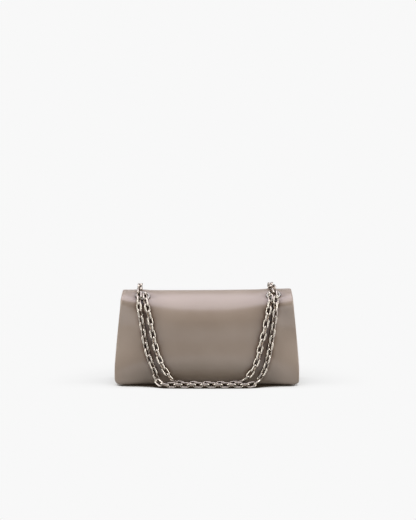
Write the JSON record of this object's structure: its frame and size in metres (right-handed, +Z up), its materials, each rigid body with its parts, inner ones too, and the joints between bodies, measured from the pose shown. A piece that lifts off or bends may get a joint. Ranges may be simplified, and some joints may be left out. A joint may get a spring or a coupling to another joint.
{
  "type": "mini flap shoulder bag",
  "caption": "Small padded leather shoulder bag: a full-length flap folds over a gusseted pouch, and an endless metal chain runs through round eyelets and lies doubled in front.",
  "frame": {"origin": "middle of the base panel's flat underside, on the surface that the bag stands on", "axes": "+X to the right as seen from the front, -Y to the front that the flap covers, +Z up"},
  "size_m": [0.2217, 0.081, 0.1197],
  "materials": {
    "leather": "smooth satin",
    "lining": "matte",
    "nickel": "polished, slightly warm"
  },
  "bodies": {
    "root": {"base_panel": "leather", "front_panel": "lining", "back_panel": "leather", "gusset_left": "leather", "gusset_right": "leather", "magnet_closure": "nickel", "flap": "leather", "eyelet_front_left": "nickel", "eyelet_back_left": "nickel", "eyelet_front_right": "nickel", "eyelet_back_right": "nickel", "chain_inner_strand": "nickel", "chain_outer_strand": "nickel"}
  },
  "joints": []
}
